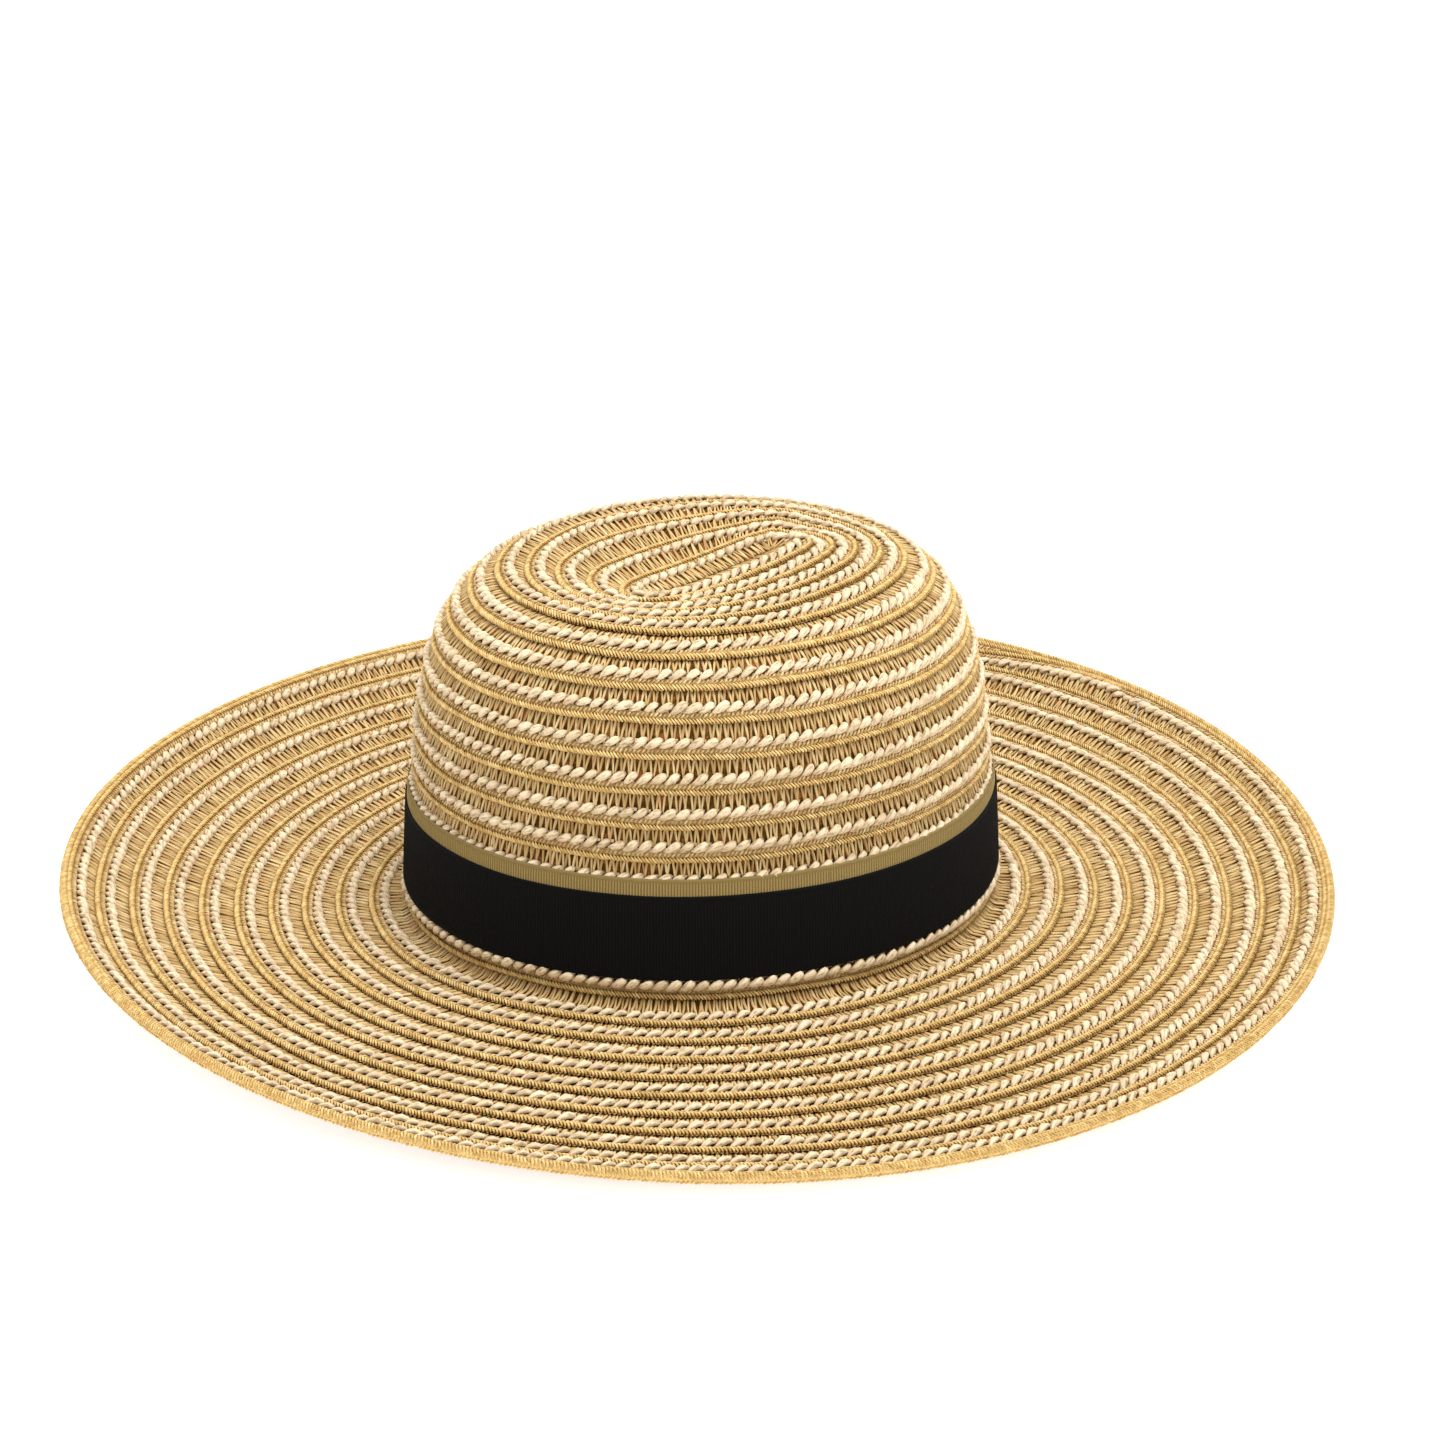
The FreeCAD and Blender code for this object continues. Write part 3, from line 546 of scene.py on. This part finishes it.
def ground_painted_shade_material():
    """The openwork behind the stitches: dark brown painted shade where the openwork lets the eye through,
    with rust-red and olive patches.
    """
    paint = Paint("straw_ground_painted_shade", (0.20, 0.11, 0.045), 0.9, 0.05)
    patches = paint.noise(420, 4.0)
    # Mostly dark brown painted shade, with lighter brown and rust-red patches where the noise is high.
    colour = paint.ramp(patches, [(0.30, (0.070, 0.030, 0.006)), (0.50, (0.13, 0.062, 0.013)),
                                  (0.58, (0.25, 0.135, 0.030)), (0.66, (0.42, 0.12, 0.04))])
    fine = paint.noise(1900, 2.0)
    # Fine noise darkens the low spots of its own bump: painted shade in tiny openings.
    painted_gap_shade = paint.ramp(fine, [(0.35, (0.45, 0.42, 0.40)), (0.65, (1.0, 1.0, 1.0))])
    paint.colour(paint.mix(0.8, colour, painted_gap_shade, "MULTIPLY"))
    paint.bump(fine, 0.0003)
    return paint.material


GROUND_SHADE = ground_painted_shade_material()
STRAW = [GROUND_SHADE, TAN, CREAM, GOLD]
GROUND_SHADE_SLOT, TAN_SLOT, CREAM_SLOT, GOLD_SLOT = range(4)


def ribbed_cloth(name, mean, light, sheen):
    """Grosgrain or another ribbed strip: painted light on each rib's top and painted shade in its hollow,
    with fine threads.
    """
    paint = Paint(name, mean, 0.85, 0.12)
    paint.shader.inputs["Sheen Weight"].default_value = sheen
    threads = paint.noise(1.0, 2.0, paint.attribute("grain").outputs["Vector"], (6.0, 14.0, 1.0))
    # Painted shade in the rib hollows and painted light on the rib tops, read from the shade the strip
    # gives each point.
    hollow = tuple(0.55 * c for c in mean)
    painted_rib_light_and_shade = paint.ramp(paint.attribute("shade").outputs["Fac"], [(0.0, hollow), (0.6, mean), (1.0, light)])
    # The threads darken where their bump is low and lighten where it is high: painted shade and painted
    # light on each thread.
    lines = paint.ramp(threads, [(0.3, (0.75,) * 3), (0.7, (1.15,) * 3)])
    paint.colour(paint.mix(1.0, painted_rib_light_and_shade, lines, "MULTIPLY"))
    paint.bump(threads, 0.00008)
    return paint.material


# Each ribbon's second colour is its painted highlight on the rib tops.
BLACK = ribbed_cloth("ribbon_black", (0.0026, 0.0026, 0.0027), (0.0050, 0.0050, 0.0051), 0.0)
KHAKI = ribbed_cloth("ribbon_khaki", (0.25, 0.175, 0.060), (0.41, 0.295, 0.112), 0.02)
COTTON = ribbed_cloth("band_cotton", (0.55, 0.43, 0.27), (0.70, 0.58, 0.40), 0.15)
THREAD = straw("thread", dark=(0.50, 0.38, 0.22), mean=(0.62, 0.48, 0.29),
               light=(0.70, 0.57, 0.37), blush=(0.62, 0.46, 0.28), strand_depth=0.00004)


def metal(name, tone):
    """Brushed metal: fine streaks in its tone and its roughness."""
    paint = Paint(name, tone, 0.35)
    paint.shader.inputs["Metallic"].default_value = 1.0
    brushed = paint.noise(900, 3.0, stretch=(1.0, 1.0, 6.0))
    paint.colour(paint.ramp(brushed, [(0.3, tuple(0.7 * c for c in tone)), (0.7, tone)]))
    roughness = paint.node("ShaderNodeMapRange")
    roughness.inputs["To Min"].default_value = 0.25
    roughness.inputs["To Max"].default_value = 0.5
    paint.link(brushed, roughness.inputs["Value"])
    paint.link(roughness.outputs["Result"], paint.shader.inputs["Roughness"])
    return paint.material


def clear_plastic():
    """Clear plastic with a slight haze."""
    paint = Paint("clear_plastic", (0.9, 0.92, 0.93), 0.15, 0.5)
    paint.shader.inputs["Transmission Weight"].default_value = 0.85
    haze = paint.noise(600, 2.0)
    paint.colour(paint.ramp(haze, [(0.3, (0.86, 0.88, 0.89)), (0.7, (0.95, 0.96, 0.97))]))
    paint.bump(haze, 0.00005)
    return paint.material


# ---------------------------------------------------------------- stitches of the braid
# Each point of a stitch is (along, across, height, half width, half height).

CREAM_STITCH = yarn([
    (-2.85, 1.50, -0.50, 0.20, 0.20), (-2.05, 1.25, 0.15, 0.55, 0.50), (-0.85, 0.65, 0.95, 0.92, 0.90),
    (0.60, -0.35, 1.40, 1.22, 1.10), (1.80, -1.05, 1.05, 1.12, 1.00), (2.60, -1.25, -0.20, 0.55, 0.50),
], 8, groove=0.17, twist=0.6)
CREAM_STITCH_UNDER = yarn([
    (-2.50, 1.25, -0.40, 0.30, 0.25), (-0.90, 0.60, 0.30, 1.00, 0.50), (1.30, -0.60, 0.30, 1.10, 0.50),
    (2.50, -1.10, -0.45, 0.45, 0.30),
], 6)
LEG_LEANING_LEFT = yarn([
    (-0.10, -0.50, 0.75, 0.28, 0.26), (-0.32, -0.20, 0.55, 0.36, 0.32), (-0.70, 0.20, 0.24, 0.36, 0.32),
    (-1.05, 0.50, -0.05, 0.28, 0.24),
], 4)
LEG_LEANING_RIGHT = yarn([
    (0.10, -0.50, 0.75, 0.28, 0.26), (0.32, -0.20, 0.55, 0.36, 0.32), (0.70, 0.20, 0.24, 0.36, 0.32),
    (1.05, 0.50, -0.05, 0.28, 0.24),
], 4)
STROKE = yarn([
    (0.70, -1.00, -0.20, 0.30, 0.24), (0.20, -0.20, 0.20, 0.50, 0.36), (-0.60, 0.90, -0.10, 0.34, 0.28),
], 4)
CORD_STRAND = yarn([
    (-0.90, -0.85, -0.30, 0.30, 0.24), (-0.38, -0.36, 0.36, 0.40, 0.32), (0.25, 0.25, 0.46, 0.42, 0.34),
    (0.68, 0.74, 0.06, 0.40, 0.34), (0.92, 0.94, -0.60, 0.32, 0.30),
], 4)
SEAM_STITCH = yarn([
    (-1.70, 0.00, -0.30, 0.16, 0.14), (-1.30, 0.00, 0.05, 0.20, 0.18), (1.30, 0.00, 0.05, 0.20, 0.18),
    (1.70, 0.00, -0.30, 0.16, 0.14),
], 4)
CREAM_SPACING, LEG_SPACING, STROKE_SPACING, CORD_SPACING, SEAM_SPACING = 4.3, 2.35, 1.4, 1.1, 4.0
UNDER_LEG_SPREAD, LEG_LINES = 1.4, 4
# distances from a turn's outer edge, and how far legs and ground run on under the turn before
CORD_PLACE, STROKE_PLACE, CREAM_PLACE, LEGS_FROM = 0.95, 2.6, 4.85, 5.4
GROUND_FROM, UNDER_GROUND_FROM, LEG_TUCK, GROUND_TUCK, LEAST_REACH = 6.4, 3.5, 1.2, 3.6, 1.2
# heights over the braid's upper face, or under its lower one
CREAM_HEIGHT, UNDER_CREAM_HEIGHT, LEG_HEIGHT, UNDER_LEG_HEIGHT = -0.72, -0.5, -0.82, -0.1
STROKE_HEIGHT, CORD_HEIGHT, OUTER_CORD_HEIGHT, GROUND_HEIGHT = -0.40, -0.2, -0.28, -0.70
# the edge row has a second cord and one more on its rim, and the turn row's creams stand further out
CORD_WIDTH, EDGE_CORDS, RIM_CORD_PLACE, RIM_CORD_RISE, TURN_LIFT = 1.5, 2, 0.7, 0.4, 1.6


def between(start, share, tuck=LEG_TUCK):
    """A distance from the outer edge: a share of the way from a start to the hidden inner edge."""
    return lambda pitch: start + share * (pitch + tuck - start).clip(LEAST_REACH)


def braid_section(row, extra):
    """The ground's closed section, as distances from the outer edge and heights over the braid's top,
    and the material of each of its sides."""
    half = (EDGE_THICKNESS if row == EDGE_ROW else BRAID_THICKNESS) / 2
    shares = np.linspace(1, 0, LEG_LINES)
    top = [(between(GROUND_FROM + extra, share, GROUND_TUCK), GROUND_HEIGHT) for share in shares]
    top += [(5.6 + extra, -0.62), (3.6 + extra, -0.72), (2.2 + extra, -0.70), (1.75 + extra, -0.50)]
    rim = [(1.0, -0.18), (0.35, -0.18 - half * 0.35), (0.0, -half), (0.35, -half * 1.7),
           (1.1, -2 * half)]
    under = [(between(UNDER_GROUND_FROM, share, GROUND_TUCK), -2 * half + 0.1) for share in shares[::-1]]
    # The ground's dark colour is painted shade. On the top faces it stands for the shade in the openwork
    # and between the creams. On the rim of every turn but the edge row it stands for the shadow under the
    # cord.
    ground = [GROUND_SHADE_SLOT] * (LEG_LINES + 1)
    rim_slot = GOLD_SLOT if row == EDGE_ROW else GROUND_SHADE_SLOT
    return top + rim + under, ground + [TAN_SLOT] * 2 + [rim_slot] * 5 + ground


def build_row(row, name):
    """One turn of braid, with the stitches of both faces."""
    cloth = Cloth(row + 1)
    cords = EDGE_CORDS if row == EDGE_ROW else 1
    extra = (cords - 1) * CORD_WIDTH
    section, slots = braid_section(row, extra)
    cloth.strip([lane(row, distance, height).point for distance, height in section], slots)
    cream = CREAM_PLACE + extra
    lift = TURN_LIFT if row == TURN_ROW else 0
    upper, lower = lane(row, cream, lift + CREAM_HEIGHT), lane(row, cream, UNDER_CREAM_HEIGHT, under=True)
    cloth.stitches(CREAM_STITCH, upper.places(CREAM_SPACING, cream), CREAM_SLOT)
    cloth.stitches(CREAM_STITCH_UNDER, lower.places(CREAM_SPACING, cream), CREAM_SLOT)
    for under, height, spread in ((False, LEG_HEIGHT, 1), (True, UNDER_LEG_HEIGHT, UNDER_LEG_SPREAD)):
        lines = [lane(row, between(LEGS_FROM + extra, share), height, under)
                 for share in np.linspace(0, 1, LEG_LINES)]
        steps = lines[1].steps(LEG_SPACING * spread)
        cloth.bridges(LEG_LEANING_LEFT, lines, steps, TAN_SLOT)
        cloth.bridges(LEG_LEANING_RIGHT, lines, steps, TAN_SLOT)
    stroke = STROKE_PLACE + extra
    cloth.stitches(STROKE, lane(row, stroke, STROKE_HEIGHT).places(STROKE_SPACING, stroke), TAN_SLOT)
    cord_places = [CORD_PLACE + CORD_WIDTH * cord for cord in range(cords)]
    for distance in cord_places:
        height = OUTER_CORD_HEIGHT if distance == CORD_PLACE else CORD_HEIGHT
        places = lane(row, distance, height).places(CORD_SPACING, distance)
        cloth.stitches(CORD_STRAND, places, GOLD_SLOT, jitter=0.04, swing=0.04)
    if row == EDGE_ROW:
        places = lane(row, RIM_CORD_PLACE, RIM_CORD_RISE - EDGE_THICKNESS / 2).places(CORD_SPACING)
        cloth.stitches(CORD_STRAND, places, GOLD_SLOT, jitter=0.04, swing=0.04)
    for distance in cord_places:
        places = lane(row, distance, CORD_HEIGHT, under=True).places(STROKE_SPACING)
        cloth.stitches(STROKE, places, GOLD_SLOT)
    piece = cloth.make(name + "_braid", STRAW)
    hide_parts(name)


def build_seams(name, rows):
    """The sewing thread that joins each turn to the next, as it shows on the hat's inside."""
    cloth = Cloth(len(name))
    for row in rows:
        line = lane(row, SEAM_MARGIN, under=True, depth=SEAM_DEPTH)
        cloth.stitches(SEAM_STITCH, line.places(SEAM_SPACING), 0, jitter=0.03, swing=0.04)
    piece = cloth.make(name + "_thread", [THREAD])
    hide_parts(name)


# ---------------------------------------------------------------- ribbons and sweatband

def wall(angle, height, outset):
    """Points round the crown at a height over the ribbons' lower edge, a given way outside its skin."""
    inset = np.interp(height, HEIGHT, INSET) - outset
    return np.stack([(CROWN_HALF_WIDTH - inset) * np.cos(angle),
                     CROWN_BACK + (CROWN_HALF_LENGTH - inset) * np.sin(angle),
                     height + RIM + np.zeros_like(angle)], axis=-1)


class Strip:
    """A ribbed strip of cloth round the crown, between two heights over the ribbons' lower edge."""

    def __init__(self, low, high, outset, thickness, rib, depth):
        self.low, self.high, self.outset, self.thickness = low, high, outset, thickness
        self.rib, self.depth = rib, depth

    def even(self, start, end, spacing):
        """Angles from start to end that step evenly round the crown, and the length between them."""
        fine = np.linspace(start, end, 4001)
        line = wall(fine, self.low, self.outset)
        walked = np.concatenate([[0], np.cumsum(np.linalg.norm(np.diff(line, axis=0), axis=1))])
        count = int(round(walked[-1] / spacing))
        return np.interp(np.linspace(0, walked[-1], count + 1), walked, fine), walked[-1]

    def weave(self, cloth, start, end, lift=0.0):
        """The strip's quads, four to a rib, with smooth selvages. A lifted layer has folded ends."""
        angle, length = self.even(start, end, self.rib / 4)
        closed = lift == 0
        if closed:
            angle = angle[:-1]
        rib = np.cos(np.arange(len(angle)) * math.pi / 2 + 0.4) * self.depth
        waver = 0.12 * np.sin(5 * angle + self.low) + 0.08 * np.sin(11 * angle + 1.0)
        ends = np.ones_like(angle)
        if not closed:
            from_end = np.minimum(np.arange(len(angle)), np.arange(len(angle))[::-1]) * self.rib / 4
            ends = np.sqrt((from_end / abs(self.thickness)).clip(0, 1))
        width = self.high - self.low
        edge = np.array([0, 0.5, 1.1])
        heights = self.low + np.concatenate([edge, np.linspace(1.6, width - 1.6, 5), width - edge[::-1]])
        ribbed = [0, 0.1, 0] + [1] * 5 + [0, 0.1, 0]
        bulges = [-0.12, 0.04, -0.02] + [0] * 5 + [-0.02, 0.04, -0.12]
        outer, shades = [], []
        for height, share, bulge in zip(heights, ribbed, bulges):
            face = self.outset + lift + self.thickness * ends + bulge
            outer.append(wall(angle, height, face + rib * share + waver))
            # The outer face's shade follows its rib: painted light on the rib's top, painted shade in its
            # hollow.
            shades.append(0.6 + 0.4 * share * rib / self.depth)
        inner = [wall(angle, height, self.outset + lift + waver) for height in heights[::-1]]
        cloth.strip(outer + inner, [0] * (2 * len(heights)), closed)
        cloth.shades[-1] = np.concatenate(shades + [np.full(len(angle), 0.5)] * len(heights))
        return length


def build_ribbon(name, node, material, strip, lap):
    """A strip of cloth round the crown. With a lap, its ends overlap at the back."""
    cloth = Cloth(len(name))
    length = strip.weave(cloth, 0, 2 * math.pi)
    if lap:
        half = lap / 2 / (CROWN_HALF_WIDTH + strip.outset)
        back = math.pi / 2
        strip.weave(cloth, back - half, back + half, lift=strip.thickness + 0.02)
    piece = cloth.make(name, [material])
    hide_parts(node)


def build_band_seam():
    """The stitches along the sweatband's lower edge."""
    angle = np.linspace(0, -2 * math.pi, SAMPLES)
    stand_off = BAND_INSET + BAND_THICKNESS + BAND_SEAM_STAND_OFF
    point = wall(angle, BAND_SEAM_RISE - BAND_DROP, -stand_off)
    normal = -np.stack([np.cos(angle), np.sin(angle), np.zeros_like(angle)], axis=-1)
    cloth = Cloth(seed=9)
    cloth.stitches(SEAM_STITCH, Line(point, normal).places(SEAM_SPACING), 0, jitter=0.02, swing=0.02)
    piece = cloth.make("sweatband_seam_thread", [THREAD])
    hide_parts("sweatband_stitching")


def repaint(node, material):
    """A CAD node that stays as it is gets a detailed material."""
    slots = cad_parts[node].data.materials
    slots.clear()
    slots.append(material)


for row, name in enumerate(ROW_NAMES):
    build_row(row, name)
build_seams("crown_row_stitching", range(0, TURN_ROW))
build_seams("brim_row_stitching", range(TURN_ROW, EDGE_ROW))
build_ribbon("khaki_ribbon_cloth", "khaki_ribbon", KHAKI,
             Strip(0, UNDER_RIBBON_HEIGHT, RIBBON_STAND_OFF, RIBBON_THICKNESS, rib=0.95, depth=0.10),
             0)
build_ribbon("black_ribbon_cloth", "black_ribbon", BLACK,
             Strip(0, RIBBON_HEIGHT, RIBBON_STAND_OFF + RIBBON_THICKNESS + RIBBON_CLEARANCE,
                   RIBBON_THICKNESS, rib=1.0, depth=0.07), RIBBON_LAP)
build_ribbon("sweatband_cloth", "sweatband", COTTON,
             Strip(-BAND_DROP, BAND_HEIGHT - BAND_DROP, -BAND_INSET, -BAND_THICKNESS,
                   rib=1.3, depth=-0.10), BAND_LAP)
build_band_seam()
repaint("edge_wire", metal("wire_steel", (0.60, 0.60, 0.61)))
repaint("edge_wire_joiner", metal("joiner_aluminium", (0.75, 0.75, 0.76)))
repaint("tag_fastener", clear_plastic())


# ---------------------------------------------------------------- floor, light and camera

CAMERA_AZIMUTH, CAMERA_ELEVATION, CAMERA_DISTANCE = math.radians(64), math.radians(24), 1.4
LENS, SENSOR, NEAREST, AIM_RIGHT, AIM_UP = 105, 36, 0.05, 0.006, 0.046
FLOOR_GLOW, WORLD_STRENGTH = 0.7, 0.87
SOFTBOX_PLACE, SOFTBOX_TARGET, SOFTBOX_POWER, SOFTBOX_SIZE = (0.3, 0.2, 2.0), (0, 0, 0.05), 40, 1.1


def make_stage():
    """A plain pale floor under an even white world."""
    bpy.ops.mesh.primitive_plane_add(size=40)
    floor = bpy.context.object
    floor.name = "floor"
    paint = Paint("floor_white", (0.9, 0.9, 0.9), 0.9)
    shade = paint.ramp(paint.noise(3, 2.0), [(0.3, (0.90, 0.90, 0.90)), (0.7, (0.92, 0.92, 0.92))])
    paint.colour(shade)
    paint.shader.inputs["Emission Color"].default_value = (1, 1, 1, 1)
    paint.shader.inputs["Emission Strength"].default_value = FLOOR_GLOW
    floor.data.materials.append(paint.material)
    world = bpy.data.worlds.new("studio")
    bpy.context.scene.world = world
    world.use_nodes = True
    world.node_tree.nodes["Background"].inputs["Color"].default_value = (1, 1, 1, 1)
    world.node_tree.nodes["Background"].inputs["Strength"].default_value = WORLD_STRENGTH


def make_softbox():
    """One large soft light from above."""
    light = bpy.data.lights.new("softbox", "AREA")
    light.energy = SOFTBOX_POWER
    light.size = SOFTBOX_SIZE
    softbox = bpy.data.objects.new("softbox", light)
    bpy.context.scene.collection.objects.link(softbox)
    softbox.location = SOFTBOX_PLACE
    softbox.rotation_mode = "QUATERNION"
    toward = Vector(SOFTBOX_TARGET) - Vector(SOFTBOX_PLACE)
    softbox.rotation_quaternion = toward.to_track_quat("-Z", "Y")


def make_camera():
    """A long lens, aimed a little over the ribbons' lower edge."""
    azimuth, elevation = CAMERA_AZIMUTH, CAMERA_ELEVATION
    back = Vector((math.sin(azimuth) * math.cos(elevation), -math.cos(azimuth) * math.cos(elevation),
                   math.sin(elevation)))
    right = Vector((math.cos(azimuth), math.sin(azimuth), 0))
    up = back.cross(right)
    middle = Vector((0, CROWN_BACK * MM, RIM * MM))
    camera = bpy.data.objects.new("camera", bpy.data.cameras.new("camera"))
    bpy.context.scene.collection.objects.link(camera)
    camera.data.sensor_width = SENSOR
    camera.data.lens = LENS
    camera.data.clip_start = NEAREST
    camera.location = middle + back * CAMERA_DISTANCE
    aim = middle + right * AIM_RIGHT + up * AIM_UP
    camera.rotation_mode = "QUATERNION"
    camera.rotation_quaternion = (aim - camera.location).to_track_quat("-Z", "Y")
    bpy.context.scene.camera = camera


make_stage()
make_softbox()
make_camera()
bpy.context.scene.view_settings.view_transform = "Standard"
